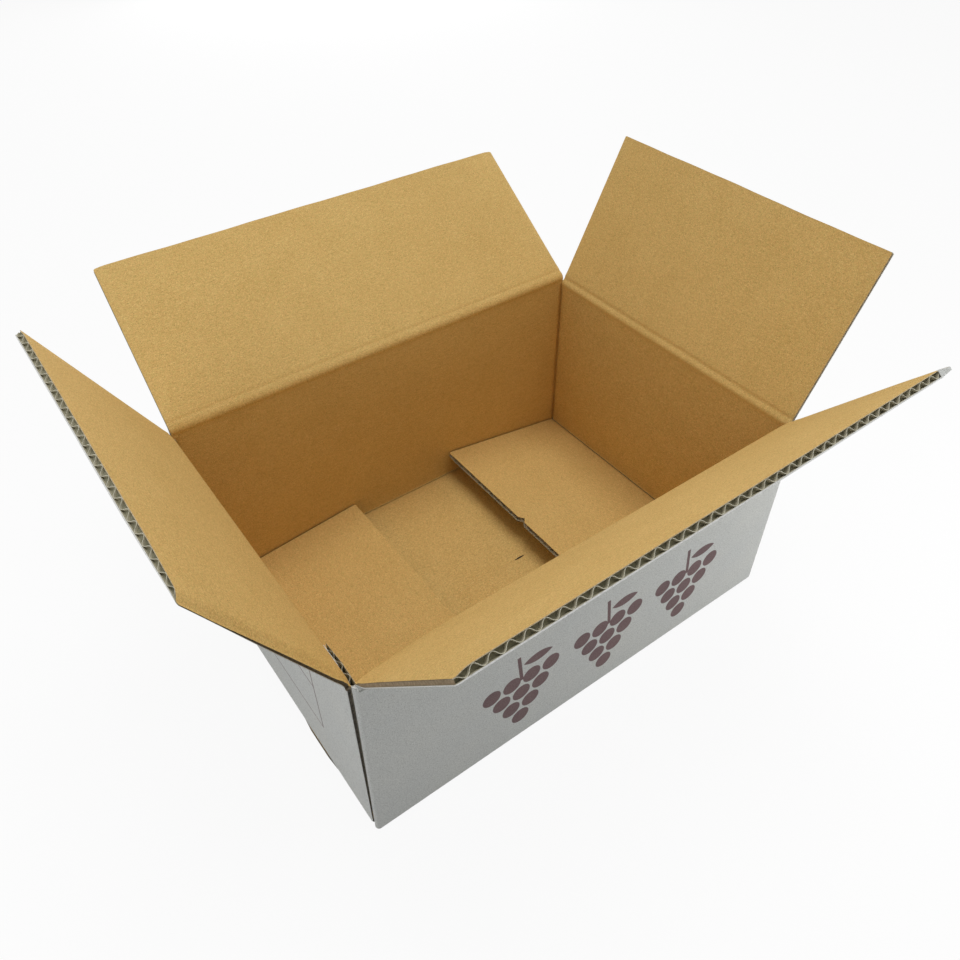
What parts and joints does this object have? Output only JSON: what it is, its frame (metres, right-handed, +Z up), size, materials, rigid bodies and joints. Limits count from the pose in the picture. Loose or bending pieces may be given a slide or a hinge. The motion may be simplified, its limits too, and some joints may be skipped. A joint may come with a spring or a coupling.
{
  "type": "open corrugated cardboard grape box",
  "caption": "Slotted corrugated carton standing open: white outside, brown inside, top flaps leaning out and inner bottom flaps that lift from the floor.",
  "frame": {"origin": "middle of the underside, at the seam of the outer bottom flaps, on the ground", "axes": "+X along the long walls, +Y from the front wall to the back wall, +Z up"},
  "size_m": [0.4645, 0.4267, 0.2669],
  "materials": {
    "white_board": "matte",
    "kraft_board": "matte"
  },
  "bodies": {
    "box": {"carton": "white_board"},
    "front_flap": {"front_top_flap": "kraft_board"},
    "back_flap": {"back_top_flap": "kraft_board"},
    "left_flap": {"left_top_flap": "kraft_board"},
    "right_flap": {"right_top_flap": "kraft_board"},
    "left_floor_flap": {"left_bottom_flap": "kraft_board"},
    "right_floor_flap": {"right_bottom_flap": "kraft_board"}
  },
  "joints": [
    {"name": "front_flap_fold", "type": "hinge", "parent": "box", "child": "front_flap", "pos_m": [0, -0.124, 0.161], "axis": [-1, 0, 0], "range_deg": [-124, 131]},
    {"name": "back_flap_fold", "type": "hinge", "parent": "box", "child": "back_flap", "pos_m": [0, 0.124, 0.161], "axis": [1, 0, 0], "range_deg": [-111, 144]},
    {"name": "left_flap_fold", "type": "hinge", "parent": "box", "child": "left_flap", "pos_m": [-0.175, 0, 0.1561], "axis": [0, 1, 0], "range_deg": [-136, 119]},
    {"name": "right_flap_fold", "type": "hinge", "parent": "box", "child": "right_flap", "pos_m": [0.175, 0, 0.1561], "axis": [0, -1, 0], "range_deg": [-138, 117]},
    {"name": "left_floor_flap_lift", "type": "hinge", "parent": "box", "child": "left_floor_flap", "pos_m": [-0.1704, 0, 0.0095], "axis": [0, -1, 0], "range_deg": [-5.5, 54.5]},
    {"name": "right_floor_flap_lift", "type": "hinge", "parent": "box", "child": "right_floor_flap", "pos_m": [0.1704, 0, 0.0095], "axis": [0, 1, 0], "range_deg": [-9, 76]}
  ]
}
